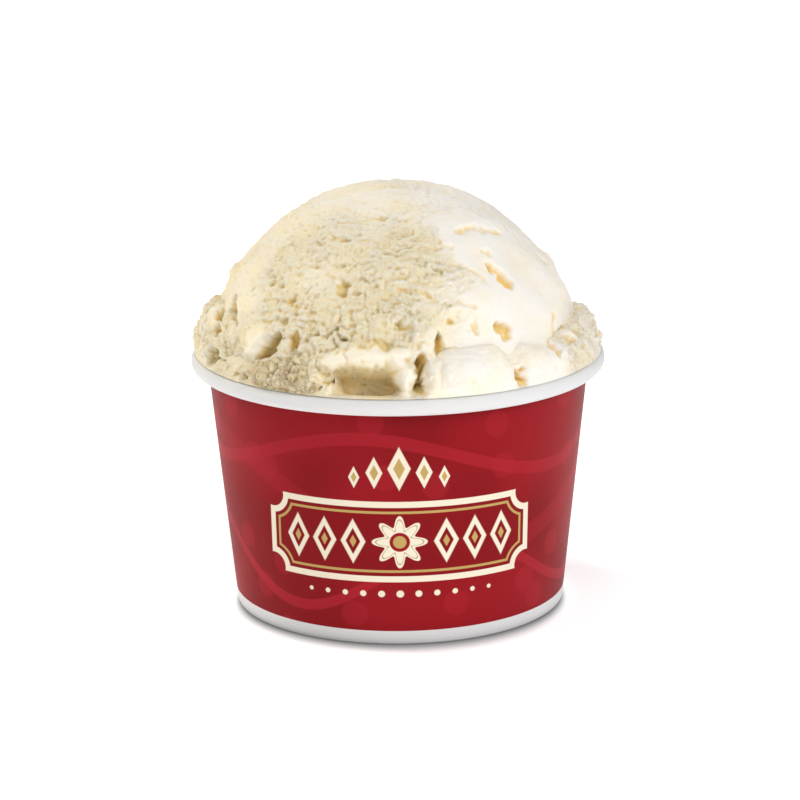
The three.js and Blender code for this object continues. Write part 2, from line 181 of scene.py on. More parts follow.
def table_white_painted_shadow():
    """White that glows, with a contact shadow painted into its colour and its glow. The painted
    shadow is the foot's circle moved forward and blurred as seen: with u and v the place over the
    circle's radius and g = |(u, v)|, its distance in the picture is
    R * g * (g - 1) / |(u, v / sin(sight elevation))|."""
    material, shader, place = new_paint("table_white_painted_shadow")
    x, y = place.parts("XY")
    u, v = x / PAINTED_SHADOW_RADIUS, (y + PAINTED_SHADOW_SHIFT) / PAINTED_SHADOW_RADIUS
    g = (u * u + v * v).maths("SQRT")
    steep = (u * u + v * v / math.sin(SIGHT_ELEVATION) ** 2).maths("SQRT")
    away = g * (g - 1) * PAINTED_SHADOW_RADIUS / steep
    # A shadow painted in front of the foot, which darkens both the table's colour and its glow
    painted_shade = away.step(PAINTED_SHADOW_REACH, -PAINTED_SHADOW_REACH) * PAINTED_SHADOW_DARKNESS
    colour = painted_shade.mix(TABLE_WHITE, PAINTED_SHADOW_BLACK)
    feed(
        shader,
        Base_Color=colour,
        Emission_Color=colour,
        Emission_Strength=TABLE_GLOW,
        Roughness=0.9,
        Specular_IOR_Level=0.1,
    )
    return material


half = TABLE_SIZE / 2
table_corners = [(-half, -half, 0), (half, -half, 0), (half, half, 0), (-half, half, 0)]
table_mesh = bpy.data.meshes.new("table_top")
table_mesh.from_pydata(table_corners, [], [(0, 1, 2, 3)])
table_mesh.materials.append(table_white_painted_shadow())
table = shown("table_top", table_mesh)

room = bpy.data.worlds.new("room")
room.use_nodes = True
background = room.node_tree.nodes["Background"].inputs
background["Color"].default_value = (1, 1, 1, 1)
background["Strength"].default_value = ROOM_LIGHT
bpy.context.scene.world = room


def lamp(name, azimuth, elevation, spread, power, colour):
    """A light so far off that it's even over the table, from an azimuth (0 in front, 90 at the
    right), with the spread in degrees that its softbox covers and its power in W/m2."""
    data = bpy.data.lights.new(name, "SUN")
    data.angle = math.radians(spread)
    data.energy = power
    data.color = colour
    a, e = math.radians(azimuth), math.radians(elevation)
    toward = Vector((math.sin(a) * math.cos(e), -math.cos(a) * math.cos(e), math.sin(e)))
    light = shown(name, data)
    light.rotation_mode = "QUATERNION"
    light.rotation_quaternion = (-toward).to_track_quat("-Z", "Y")


lamp("key_light", 51, 32, 25, 1.4, (0.98, 0.985, 1.02))
lamp("front_light", -14, 36, 35, 0.5, (1.0, 0.97, 0.93))
lamp("side_light", -118, 30, 20, 1.5, (1.0, 0.945, 0.88))
lamp("top_light", -30, 74, 30, 0.6, (1.0, 0.99, 0.97))
lamp("back_light", 178, 40, 50, 0.35, (1.0, 1.0, 1.0))


# ------------------------------------------------------------------------------------------------
# Cup wall. One blank of coated paperboard wrapped to a cone and glued in a lapped seam at the
# back, rolled outwards at the rim and folded in at the foot, and printed red between two white
# margins, with a cream and gold ornament on the front.

CUP_HEIGHT = 59.8
RIM_RADIUS = 48.0
FOOT_RADIUS = 38.3
BOARD = 0.5
BEAD_RADIUS = 2.1
HEM_HEIGHT = 5.0
FOLD_RADIUS = 0.45
GAP = 0.3
CURL_END = -160.0
WALL_COLUMNS = 420
SEAM_AZIMUTH = 179.8
SEAM_RAMP, SEAM_FLAT = 14.0, 0.4
SEAM_STEP = 0.42

bead = (RIM_RADIUS - BEAD_RADIUS, CUP_HEIGHT - BEAD_RADIUS)
wall_top_radius = RIM_RADIUS - 2 * BEAD_RADIUS + BOARD


def smooth(low, high, value):
    """0 below low, 1 above high, and an S-curve between."""
    t = np.clip((value - low) / (high - low), 0, 1)
    return t * t * (3 - 2 * t)


def wall_radius(z):
    return FOOT_RADIUS + (wall_top_radius - FOOT_RADIUS) * np.asarray(z) / bead[1]


def arc(centre, radius, start, end, steps):
    """Points of a circle in the profile's plane, from one angle to another in even steps."""
    angle = np.radians(np.linspace(start, end, steps))
    return np.stack([centre[0] + radius * np.cos(angle), centre[1] + radius * np.sin(angle)], -1)


def line(start, end, steps):
    """Points in even steps from one [radius, height] to another, both ends left out."""
    t = np.linspace(0, 1, steps + 2)[1:-1, None]
    return np.array(start) * (1 - t) + np.array(end) * t


def placed(radius, azimuth, height):
    """Points at a radius from the cup's axis, an azimuth in degrees (0 in front, 90 at the right)
    and a height."""
    a = np.radians(azimuth)
    return np.stack(np.broadcast_arrays(radius * np.sin(a), -radius * np.cos(a), height), -1)


def grid_mesh(name, points, ring):
    """A closed mesh over a grid of points in millimetres, [row, column, xyz]. Columns join round
    the cup. Rows join round too where ring is true; otherwise each end row is one point, a pole.
    Faces are turned outwards by the sign of the volume they enclose."""
    rows, columns = points.shape[:2]
    if ring:
        corners = points.reshape(-1, 3)
        index = np.arange(rows * columns).reshape(rows, columns)
        index = np.concatenate([index, index[:1]])
        caps = np.empty((0, 3), int)
    else:
        corners = np.concatenate([points[0, :1], points[1:-1].reshape(-1, 3), points[-1, :1]])
        index = 1 + np.arange((rows - 2) * columns).reshape(rows - 2, columns)
        last = len(corners) - 1
        low, high = index[0], index[-1]
        foot = np.stack([np.zeros(columns, int), np.roll(low, -1), low], -1)
        head = np.stack([np.full(columns, last), high, np.roll(high, -1)], -1)
        caps = np.concatenate([foot, head])
    a, b = index[:-1], np.roll(index, -1, 1)[:-1]
    c, d = np.roll(index, -1, 1)[1:], index[1:]
    quads = np.stack([a, b, c, d], -1).reshape(-1, 4)
    halves = np.concatenate([quads[:, :3], quads[:, [0, 2, 3]], caps])
    p, q, r = (corners[halves[:, i]] for i in range(3))
    if np.einsum("ij,ij->", p, np.cross(q, r)) < 0:
        quads, caps = quads[:, ::-1], caps[:, ::-1]
    mesh = bpy.data.meshes.new(name)
    mesh.vertices.add(len(corners))
    mesh.vertices.foreach_set("co", (corners * MM).astype(np.float32).ravel())
    order = np.concatenate([quads.ravel(), caps.ravel()])
    mesh.loops.add(len(order))
    mesh.loops.foreach_set("vertex_index", order.astype(np.int32))
    starts = np.concatenate([4 * np.arange(len(quads)), quads.size + 3 * np.arange(len(caps))])
    mesh.polygons.add(len(starts))
    mesh.polygons.foreach_set("loop_start", starts.astype(np.int32))
    mesh.update(calc_edges=True)
    mesh.validate()
    mesh.shade_smooth()
    return mesh


def stand(mesh, material, slot, *nodes):
    """Puts a finished mesh in the scene as a piece of the cup that stands for CAD nodes."""
    mesh.materials.append(material)
    piece = shown(mesh.name, mesh)
    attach(piece, "root")
    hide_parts(*nodes)


def wall_points():
    """The wall's section carried round the axis. Up the outside, round the curl's inner face to its
    loose end, back round its outer face, down the inside and round the hem. Near the seam the outer
    faces stand out by the lap's thickness, which ends in a sharp step at the back."""
    def hem(z):
        return wall_radius(z) - 2 * BOARD - 2 * GAP

    fold = FOLD_RADIUS
    top, low = (wall_top_radius - BOARD, bead[1]), (wall_radius(BOARD) - BOARD, BOARD)
    parts = [
        line((wall_radius(fold), fold), (wall_radius(bead[1]), bead[1]), steps=60),
        arc(bead, BEAD_RADIUS - BOARD, 180, CURL_END, steps=34),
        arc(bead, BEAD_RADIUS, CURL_END, 180, steps=44),
        line(top, low, steps=12),
        [
            low,
            (hem(BOARD), BOARD),
            (hem(HEM_HEIGHT), HEM_HEIGHT),
            (hem(HEM_HEIGHT) - BOARD, HEM_HEIGHT),
            *arc((hem(fold) - BOARD + fold, fold), fold, 180, 270, steps=5),
            *arc((wall_radius(fold) - fold, fold), fold, 270, 345, steps=6),
        ],
    ]
    profile = np.concatenate(parts)
    lapped = np.repeat([1, 0, 1, 0, 0], [len(part) for part in parts])
    azimuth = np.sort(np.append(np.linspace(-180, 180, WALL_COLUMNS + 1)[:-1], SEAM_AZIMUTH))
    full = SEAM_AZIMUTH - SEAM_FLAT * SEAM_RAMP
    lap = SEAM_STEP * smooth(SEAM_AZIMUTH - SEAM_RAMP, full, azimuth)
    lap[azimuth > SEAM_AZIMUTH] = 0
    from_bead = profile - np.array(bead)
    away = from_bead / np.maximum(np.linalg.norm(from_bead, axis=1, keepdims=True), 1e-6)
    out = np.where(np.arange(len(profile))[:, None] < len(parts[0]), (1.0, 0.0), away)
    shift = (lapped[:, None] * lap)[..., None] * out[:, None]
    section = profile[:, None] + shift
    return placed(section[..., 0], azimuth, section[..., 1])


def printed_board():
    """Coated white board with red printed between the margins, and on the red a generic ornament:
    a plaque with scooped corners, a rosette and lozenges in it, a spray of lozenges above and a
    string of spots under it. The numbers in a step() are where an edge's blur starts and ends."""
    red = (0.3, 0.008, 0.013, 1)
    red_deep = (0.235, 0.006, 0.009, 1)
    red_light = (0.42, 0.016, 0.028, 1)
    white = (0.76, 0.76, 0.755, 1)
    cream = (0.86, 0.78, 0.62, 1)
    gold = (0.52, 0.36, 0.12, 1)
    print_low, print_high, print_blur = 3.27, 55.9, 0.06
    plaque_height, half_width, half_height, scoop = 25.0, 31.5, 9.0, 4.0
    petals, petal_swing, petal_reach = 8, 1.3, 5.0
    spots, spot_height, spot_gap = 6, 12.4, 4.2

    material, shader, place = new_paint("printed_board")
    x, y, z = place.parts("XYZ")
    radius = (x * x + y * y).maths("SQRT")
    along = x.maths("ARCTAN2", y * -1) * radius
    side = along.size()
    flat = place.node("ShaderNodeCombineXYZ", None, {"X": along, "Y": z, "Z": 0.0})

    def ribbon(height, swing, length, phase, width):
        """A wavy band round the wall: 1 inside, 0 outside."""
        middle = (along / length + phase).maths("SINE") * swing + height
        return (z - middle).size().step(width, width - 0.35)

    def disc(across, height, size):
        """A round spot, mirrored left and right of the front: 1 inside, 0 outside."""
        dx, dz = side - across, z - height
        return (dx * dx + dz * dz).maths("SQRT").step(size + 0.1, size - 0.1)

    def lozenge(across, height, width, tall):
        """A lozenge, mirrored like the spots."""
        return ((side - across).size() / width + (z - height).size() / tall).step(1.06, 0.94)

    blots = flat.node(
        "ShaderNodeTexVoronoi",
        {"feature": "F1", "voronoi_dimensions": "2D"},
        {"Vector": flat, "Scale": 0.06, "Randomness": 0.9},
        "Distance",
    )
    off_middle = (z - plaque_height).size()
    corner_x, corner_z = side - half_width, off_middle - half_height
    from_corner = (corner_x * corner_x + corner_z * corner_z).maths("SQRT")
    from_frame = corner_x.maths("MAXIMUM", corner_z).maths("MAXIMUM", from_corner * -1 + scoop)
    radial = (side * side + off_middle * off_middle).maths("SQRT")
    turn = off_middle.maths("ARCTAN2", side)
    petal = radial - (turn * petals).maths("COSINE") * petal_swing - petal_reach

    # Every layer over the red, from the lowest: where it lies and its colour
    layers = [
        (flat.noise(0.03, 1.0).step(0.4, 0.62), red_deep),
        (blots.step(0.2, 0.17) * 0.35, red_light),
        (ribbon(16, 8, 12.0, 0.4, 1.5) * 0.7, red_light),
        (ribbon(44, 5.5, 15.5, 2.1, 1.7) * 0.6, red_light),
        (ribbon(33, 12, 25.0, 4.0, 2.6) * 0.3, red_light),
        (from_frame.step(0.1, -0.1), red_deep),
        (from_frame.size().step(0.8, 0.65), cream),
        ((from_frame + 1.9).size().step(0.36, 0.24), gold),
        (petal.step(0.1, -0.1), cream),
        ((petal + 0.9).size().step(0.22, 0.12), gold),
        (radial.step(2.4, 2.2), red),
        (radial.step(1.6, 1.4), gold),
    ]
    for across in (10.6, 17.4, 24.2):
        for width, tall, paint in ((2.9, 5.4, cream), (1.7, 3.2, red_deep), (0.8, 1.5, gold)):
            layers.append((lozenge(across, plaque_height, width, tall), paint))
    for across, height, width in ((0, 42.6, 2.6), (5.6, 41.6, 1.9), (10.2, 40.4, 1.3)):
        layers.append((lozenge(across, height, width, 2 * width), cream))
        layers.append((lozenge(across, height, width / 2, width), gold))
    for spot in range(spots):
        layers.append((disc(spot_gap * spot, spot_height, 0.85 - 0.07 * spot), cream))
    colour = red
    for share, paint in layers:
        colour = share.mix(colour, paint)

    # Only the outer face is printed, which stands furthest from the axis
    wall = z * ((wall_top_radius - FOOT_RADIUS) / bead[1]) + FOOT_RADIUS
    outer = (radius + 0.35 - wall).step(0, 0.1)
    over_foot = z.step(print_low - print_blur, print_low + print_blur)
    under_rim = z.step(print_high + print_blur, print_high - print_blur)
    printed = over_foot * under_rim * outer
    fibre = place.noise(900.0, 3.0)
    feed(
        shader,
        Base_Color=printed.mix(white, colour),
        Roughness=printed * -0.2 + 0.62 + fibre * 0.08,
        Normal=fibre.bump(0.25, 0.00004),
        Specular_IOR_Level=0.07,
    )
    return material


wall_mesh = grid_mesh("printed_cup_wall", wall_points(), ring=True)
stand(wall_mesh, printed_board(), "printed_board", "cup_wall")


# ------------------------------------------------------------------------------------------------
# Cup base. A plain white board disc, held up off the table, with its edge turned down into the
# slot between the wall and its hem.

BASE_HEIGHT = 5.6
BASE_DIP = 0.4
BASE_COLUMNS = 180


def base_points():
    """The disc's section from the axis out and back, carried round. Its middle dips a little."""
    def edge(z):
        return wall_radius(z) - BOARD - GAP

    bottom, top, flange_foot = BASE_HEIGHT, BASE_HEIGHT + BOARD, BOARD + GAP
    under, over = (0, bottom - BASE_DIP), (0, top - BASE_DIP)
    turn, shoulder = (edge(bottom) - BOARD, bottom), (edge(top), top)
    profile = np.concatenate([
        [under],
        line(under, turn, steps=14),
        [turn, (edge(flange_foot) - BOARD, flange_foot)],
        [(edge(flange_foot), flange_foot), shoulder],
        line(shoulder, over, steps=14),
        [over],
    ])
    azimuth = np.linspace(-180, 180, BASE_COLUMNS + 1)[:-1]
    return placed(profile[:, :1], azimuth, profile[:, 1:])


def plain_board():
    """Uncoated white board: a fibrous, faintly mottled matte face."""
    material, shader, place = new_paint("plain_board")
    fibre, mottle = place.noise(700.0, 4.0), place.noise(60.0, 2.0)
    feed(
        shader,
        Base_Color=mottle.mix((0.8, 0.79, 0.76, 1), (0.86, 0.85, 0.83, 1)),
        Roughness=fibre * 0.15 + 0.68,
        Normal=fibre.bump(0.35, 0.00006),
    )
    return material


base_mesh = grid_mesh("raised_cup_base", base_points(), ring=False)
stand(base_mesh, plain_board(), "plain_board", "cup_base")


# ------------------------------------------------------------------------------------------------
# Ice cream. One mass of dense vanilla: a scooped ball whose lower lip overhangs a pocket at the
# front, and the fill under it, pushed out over the rim as a torn collar. Places on it are given
# as an azimuth in degrees and a height in millimetres.

BALL_RADIUS = 44.2
BALL_CENTRE = np.array([-0.8, 0.0, 54.0])
BALL_SQUARENESS = 2.06
BALL_FOOT_ELEVATION = -2.0
LIP_ELEVATION, LIP_LIFT = 10, 6
TUCK_ANGLE = 6.0
TUCK_DEPTH, TUCK_CALM = 0.14, 0.7
FILL_RING = 30
COLLAR_HEART = np.array([40.0, 61.0])
COLLAR_INNER_RADIUS = 33.0
COLLAR_LIMIT = 47.7
COLLAR_INNER_DROP = 4.0
CREST_SETBACK, CREST_SINK, CREST_ARCH = 2.6, 0.8, 0.6
BROW_OUT, BROW_SETBACK = 0.4, 1.4
BULGE_SHARE, BROW_SHARE = 0.3, 0.8
SEAT_RADIUS = BEAD_RADIUS + 0.35
SEAT_END = 56.0
POCKET_AZIMUTH, POCKET_HALF, POCKET_EDGE = -9.5, 9.5, 2
# How much painted shade goes into the crevice attribute under the lip: across the collar in the
# pocket, and on the ball where it tucks in
POCKET_PAINTED_SHADE = 1.5
BALL_COLUMNS, BALL_ROWS = 480, 204
COLLAR_COLUMNS, FACE_ROWS, INSIDE_ROWS, FADE_ROWS = 880, 72, 18, 12
FRONT_CROWDING = 0.5

# Soft waves over everything, as (length, height, seed), and the collar's lumps
WAVES = [(15, 0.6, 3), (6.5, 0.45, 11)]
LUMP_LENGTH, LUMP_HEIGHT, LUMP_SEED, LUMP_BASE = 9, 2.6, 5, 0.25

# The collar round the cup: azimuth, height of its crest, reach of its face, how much it leans back
# on the ball (0 stands free, 1 lies on it), and how torn it is
COLLAR = np.array([
    (-98, 71, 46.8, 0.6, 1),
    (-80, 73.6, 47.2, 0.45, 0.8),
    (-66, 72.4, 47, 0.4, 0.8),
    (-55, 68, 46.8, 0.8, 0.8),
    (-47, 64, 46.9, 1, 1),
    (-40, 66.5, 47.2, 1, 1),
    (-35, 68.2, 47.2, 1, 1),
    (-27, 67.2, 47, 1, 0.9),
    (-21, 66, 46.4, 1, 0.5),
    (-17.5, 58.6, 45.3, 0, 0.3),
    (-2, 58.6, 45.3, 0, 0.3),
    (2.4, 62.5, 46.6, 0.7, 0.2),
    (5.8, 62.5, 45.8, 1, 0.3),
    (9.5, 67, 47.2, 0.7, 0.2),
    (17, 69.2, 47.2, 0.6, 0.15),
    (30, 69, 47.2, 0.6, 0.15),
    (36, 66.2, 46.4, 0.7, 0.3),
    (40, 68, 47.1, 0.4, 0.15),
    (50, 66.8, 47, 0.5, 0.2),
    (58, 68.4, 47.1, 0.5, 0.7),
    (72, 69.8, 47.3, 0.3, 0.8),
    (90, 69.4, 47.2, 0.4, 0.8),
    (108, 66.5, 46.4, 1, 0.8),
    (128, 70.5, 47, 0.5, 1),
    (150, 66.5, 46.9, 1, 0.8),
    (172, 70, 47, 0.7, 0.6),
    (196, 66, 46.6, 1, 1),
    (216, 69, 47, 0.8, 1),
    (238, 66.5, 46.8, 1, 0.8),
])

# Broad flats of the ball: azimuth, height, reach and rise
BALL_SWELLS = [(-98, 75, 7, -1.5), (-112, 90, 8, -0.7), (103, 81.5, 6, -1.9)]

# Strokes of relief: azimuth and height of each end, width, and rise (below zero for a crevice)
BALL_STROKES = [
    # the lip that overhangs the pocket at the front, and its leg on the right
    (-20, 66.4, -13, 67.6, 2.2, 2.2),
    (-13, 67.6, 0, 68, 2.2, 2.4),
    (0, 68, 3.4, 65.5, 2.2, 2.6),
    (3.4, 65.5, 3, 59.5, 1.9, 3),
    (8, 67.5, 7.6, 59.5, 1.7, -4),
    # the arch at the left, with the hollow under it, then a rib and a groove
    (-34, 71.8, -38.5, 72.5, 1.7, 1.2),
    (-38.5, 72.5, -45, 69.7, 1.8, 1.2),
    (-45, 69.7, -50.5, 63.5, 2, 1.2),
    (-38.6, 70.8, -45, 64.6, 1.5, -3.6),
    (-35.8, 71.5, -36.2, 67, 1.2, 0.9),
    (-33.2, 71.8, -33, 67.5, 1.3, -2.4),
    (-28, 70.5, -20, 70, 1.8, 0.8),
    # ledge across the middle, and the pit under its left end
    (-20, 83.5, 2, 85.5, 3, 1),
    (-22, 80.8, -17.5, 81.8, 1.8, -1.6),
    # the scoop's lip and the notch below it at the upper right
    (30, 93, 68, 91, 2.6, 0.6),
    (36, 91.2, 62, 89.4, 1.2, -0.8),
    (42, 84.8, 46, 79.2, 1.5, -2.4),
    # grooves and the three-cornered notch at the right of the middle
    (13.2, 71.8, 14, 67.4, 1.5, -2.8),
    (14, 67.6, 20.5, 68.9, 1.5, -2.6),
    (36.2, 73.2, 39, 69.8, 1.5, -2.4),
    (8, 74, 10, 73, 2, 1),
    # creases, ledges and pits round the sides and the back
    (-69, 75, -60.5, 66.5, 1.8, -2),
    (66, 68.5, 59, 65.5, 1.5, -2.4),
    (96, 80, 128, 74, 2.8, 1.3),
    (100, 76.5, 126, 71, 2.4, -1.4),
    (140, 88, 172, 90, 3, 1),
    (150, 82, 160, 77, 2.4, -2),
    (186, 76, 214, 79, 2.8, 1.2),
    (190, 72.5, 210, 74.5, 2.4, -1.6),
    (232, 86, 240, 79, 2.4, -1.6),
    (250, 76, 272, 79, 2.6, 0.9),
]
COLLAR_STROKES = [
    # lumps and pits of the ragged left side
    (-84, 71, -78, 71, 3, 1.4),
    (-64, 72, -60, 72, 1.8, -2.2),
    (-70, 69.5, -66, 69, 1.8, -1.8),
    (-56, 69.5, -53.5, 66, 1.6, -2.4),
    (-67, 63.5, -63, 62.5, 2, -1.8),
    (-49.5, 66, -47, 61, 1.4, -2),
    # the crumbling heap at the left front, and the pillar at its right
    (-42, 64, -34, 65, 3, 0.9),
    (-26, 68.5, -24.6, 63.5, 1.7, 1.6),
    (-21.4, 67.5, -21.2, 61.5, 1.7, -3),
    # crevices between the slabs on the right
    (5.9, 68, 6.1, 58, 1.9, -4),
    (34.6, 67, 37.4, 59.5, 1.4, -3.2),
    (14, 66, 30, 66, 4, 0.6),
    (42, 66.5, 54, 66.5, 3, 0.8),
    # the lump at the right edge, its pits and the crease beside it
    (59, 70.5, 62, 70, 2, -2.2),
    (68, 69.5, 70, 69, 2, -2),
    (53, 70.5, 49.5, 67.8, 1.5, -2),
    (84, 67, 92, 67, 3.4, 1),
    # torn gaps and pits along the back
    (101, 69, 103, 61, 2.2, -2.4),
    (122, 66, 125, 66, 2.4, -1.8),
    (145, 69, 147, 61, 2, -3),
    (168, 64, 172, 66, 2.4, 1.2),
    (192, 68, 194, 61, 2.2, -2.6),
    (216, 65, 222, 67, 2.4, -1.8),
    (238, 68, 236, 61, 2, -2.6),
    (255, 66, 262, 68, 3, 1.2),
]

# Smaller crags, slits and rows of pits on the ball, in the same terms
BALL_CRAGS = [
    (-41, 73.9, -37.8, 74.2, 0.9, -1.4),
    (-33, 68.2, -33, 67.6, 1.2, -1.4),
    (-42.5, 78, -38, 77.6, 1.2, -0.7),
    (-37.5, 77.5, -34, 76.2, 1.6, -0.9),
    (-51, 80, -44.5, 81.2, 0.9, -0.6),
    (-37, 85.6, -27, 86.2, 1, -0.7),
    (-24, 86, -19, 86.3, 1, -0.8),
    (-39, 90.2, -22, 90.6, 1, -0.8),
    (-35, 93, -21, 93.4, 0.9, -0.6),
    (-25, 94.5, -2, 94.7, 1, -0.8),
    (-4, 92, 10, 92.4, 0.9, -0.6),
    (18, 94.6, 30, 94.6, 0.9, -0.6),
    (-21, 72.6, -23.5, 70.6, 0.8, -0.9),
    (-17, 71.3, -13, 73.2, 0.9, -1),
    (-19.5, 73.8, -18.5, 73.2, 1.3, -1),
    (1.5, 75.2, 4.5, 74.6, 1.5, -1.3),
    (4.5, 73.4, 8.2, 72.6, 0.7, -1.4),
    (6, 75.8, 9.5, 75.4, 1.5, 1),
    (-9, 76, -6, 75.4, 1.1, -0.7),
    (11, 77.2, 13.5, 76.8, 0.9, -0.8),
    (15.5, 78.4, 19.5, 78.4, 0.6, -0.9),
    (16.4, 85.4, 20.6, 84.6, 0.7, -1),
    (-4, 79.6, 2, 80, 1, -0.6),
    (24, 79.4, 29.5, 76.6, 0.8, -0.7),
    (25.2, 75.6, 27.4, 71.6, 0.8, -0.9),
    (31, 84, 36, 81, 0.8, -0.5),
    (75, 84, 80, 78, 1, -0.8),
    (24, 90.3, 27.5, 88.5, 1, -0.9),
    (26, 86.4, 30, 84.8, 1, -0.8),
    (42, 87.2, 47, 86.2, 0.9, -0.6),
    (12, 80.5, 15.5, 79.6, 0.9, -0.9),
    (17.5, 76, 20.5, 74.2, 0.9, -1.1),
    (20, 78, 24.5, 76.4, 1.5, 0.8),
    (15, 82.8, 20, 82.2, 1.5, 0.7),
    (8, 86, 14, 86.8, 1.6, 0.7),
    (62, 71.8, 59, 67.8, 1.3, -2),
]
# Smaller pits of the collar, and the pillar beside one at the front
COLLAR_CRAGS = [
    (-25.2, 66.8, -24.6, 63.4, 1.3, 1.6),
    (-21.4, 66, -20.6, 62.6, 1.7, -2.8),
    (6.2, 66, 6.2, 59.5, 1.7, -3.2),
    (-72, 72.6, -69, 71.6, 1.5, -2),
    (-68, 70, -66.5, 68, 1.5, -2.2),
    (-57.5, 68.2, -55, 66.4, 1.4, -2.2),
    (-65, 64.8, -62.5, 63, 1.4, -2),
    (-79, 68, -76, 66.5, 1.3, -1.6),
    (65, 69.4, 66.5, 67, 1.7, -2.2),
    (60.5, 67.8, 61.5, 65.6, 1.4, -2),
    (72, 69.4, 73, 67.8, 1.4, -2),
    (51.5, 67, 52.5, 65, 1.2, -1.6),
    (78, 66, 82, 65, 1.3, -1.6),
]
# Where the ball is craggy: azimuth, height and reach
CRAGGY = [
    (-17, 72.5, 7),
    (-6, 73.5, 6),
    (5, 74, 6),
    (-28, 73, 6),
    (-39, 77, 5),
    (120, 76, 9),
    (205, 75, 9),
    (250, 73, 8),
]

# Where the scoop left the ball smooth: azimuth, height and reach
SCOOPED_SMOOTH = [
    (-47, 68.5, 5),
    (-17, 67, 3.4),
    (-11, 67.8, 3.6),
    (-5, 68, 3.6),
    (1, 67.6, 3.8),
    (3, 62.5, 3.8),
    (46, 89, 12),
    (60, 78, 10),
    (32, 78, 5),
]
# Where the collar is smooth, and where it is craggy, in the same terms
COLLAR_SMOOTH = [(-73, 71, 5), (-60, 70, 4), (-76, 65, 4), (62, 68, 3.5)]
COLLAR_CRAGGY = [
    (10.5, 63.5, 4.5),
    (19, 60.5, 3.5),
    (-62, 66, 5),
    (-88, 66, 6),
    (60, 69, 4),
    (130, 66, 7),
    (180, 66, 7),
]
# Where the collar crumbles into grains: azimuth, height and reach
CRUMBLED = [(-39, 62.5, 6), (-32, 62.5, 7), (-26, 60, 4.5)]

# Taken off the fine relief's parts, so that their crests lie on the form
FINE_SETBACK, CRAG_SETBACK, CRUMB_SETBACK = 0.7, 0.9, 1.25
# How high torn relief stands, how deep its slits go, how far up one course of its flakes reaches,
# how far a coarse wave bends it, and how much less torn the collar is where it is smooth
TORN_HEIGHT, SLIT_DEPTH, COURSE_HEIGHT, BEND, CALMED = 1.4, 0.7, 2.3, 1.2, 0.55

# What counts as a full pit or tip, over so many rows and columns each way, and as a full crevice
NEAR_REACH, NEAR_DEPTH = 2, 0.3
WIDE_REACH, WIDE_DEPTH, WIDE_WEIGHT = 7, 0.9, 0.8
CREVICE_DEPTH = 2.5

# Numbers that only serve to mix bits
LATTICE_MIX = [73856093, 19349663, 83492791]
SEED_MIX, FIRST_MIX, SECOND_MIX = 2654435761, 739982445, 695872825


def lattice_value(corner, seed):
    """A number from -1 to 1 for each whole-number place of a cubic lattice, by mixing its bits."""
    bits = np.full(corner.shape[:-1], (seed * SEED_MIX) % 2**32, np.uint32)
    for axis, mix in enumerate(LATTICE_MIX):
        bits ^= corner[..., axis].astype(np.int64).astype(np.uint32) * np.uint32(mix)
    bits = (bits ^ (bits >> np.uint32(15))) * np.uint32(FIRST_MIX)
    bits = (bits ^ (bits >> np.uint32(12))) * np.uint32(SECOND_MIX)
    return (bits ^ (bits >> np.uint32(15))) / 2.0**31 - 1


def wave(points, length, seed):
    """Lattice values blended smoothly between the corners of cells of that length."""
    cell = np.floor(points / length)
    t = smooth(0, 1, points / length - cell)
    total = 0
    for corner in np.ndindex(2, 2, 2):
        share = np.prod(np.where(corner, t, 1 - t), axis=-1)
        total = total + share * lattice_value(cell + corner, seed)
    return total


def stroke_rise(points, strokes, surface):
    """The highest ridge and the deepest crevice of the strokes at each point, each stroke being
    rise * exp(-(distance / width)^2), with the distance to the line between its two ends on the
    undisturbed surface. Crevices take the power of 4, which makes them steep, and their width
    tapers to about a third at both ends."""
    ridge = np.zeros(points.shape[:-1])
    crevice = np.zeros(points.shape[:-1])
    for azimuth_a, height_a, azimuth_b, height_b, width, rise in strokes:
        a, b = surface(azimuth_a, height_a), surface(azimuth_b, height_b)
        run = b - a
        t = np.clip((points - a) @ run / max(run @ run, 1e-9), 0, 1)
        gap = np.linalg.norm(points - a - t[..., None] * run, axis=-1)
        if rise > 0:
            ridge = np.maximum(ridge, rise * np.exp(-((gap / width) ** 2)))
        else:
            taper = 0.35 + 0.65 * np.sqrt(1 - (2 * t - 1) ** 2)
            crevice = np.minimum(crevice, rise * np.exp(-((gap / width / taper) ** 4)))
    return ridge + crevice


def swell_rise(points, swells, surface):
    """The sum of the swells at each point, each being rise * exp(-(distance / reach)^2)."""
    total = np.zeros(points.shape[:-1])
    for azimuth, height, reach, rise in swells:
        gap = np.linalg.norm(points - surface(azimuth, height), axis=-1)
        total += rise * np.exp(-((gap / reach) ** 2))
    return total


def patches(points, places, surface):
    """1 in the middle of each round place, falling to 0 at its reach."""
    total = np.zeros(points.shape[:-1])
    for azimuth, height, reach in places:
        away = np.linalg.norm(points - surface(azimuth, height), axis=-1)
        total = np.maximum(total, smooth(reach, 0.3 * reach, away))
    return total


def ragged(points):
    """The points moved about by small waves, which frays whatever is drawn at them."""
    fray = [wave(points, 2.8, seed) + 0.5 * wave(points, 1.2, seed + 3) for seed in (91, 92, 93)]
    return points + np.stack(fray, -1)


def bezier(t, *controls):
    """A Bezier curve through control points that are arrays over the azimuth."""
    if len(controls) == 1:
        return controls[0]
    return (1 - t) * bezier(t, *controls[:-1]) + t * bezier(t, *controls[1:])


def pocket(azimuth):
    """1 across the pocket under the lip at the front, 0 beyond its sides."""
    from_middle = np.abs(azimuth - POCKET_AZIMUTH)
    return smooth(POCKET_HALF + POCKET_EDGE, POCKET_HALF - POCKET_EDGE, from_middle)


def ball_radius(height):
    n = BALL_SQUARENESS
    return (BALL_RADIUS**n - np.abs(height - BALL_CENTRE[2]) ** n) ** (1 / n)


def ball_place(azimuth, height):
    return placed(ball_radius(height), azimuth, height) + BALL_CENTRE * (1, 1, 0)


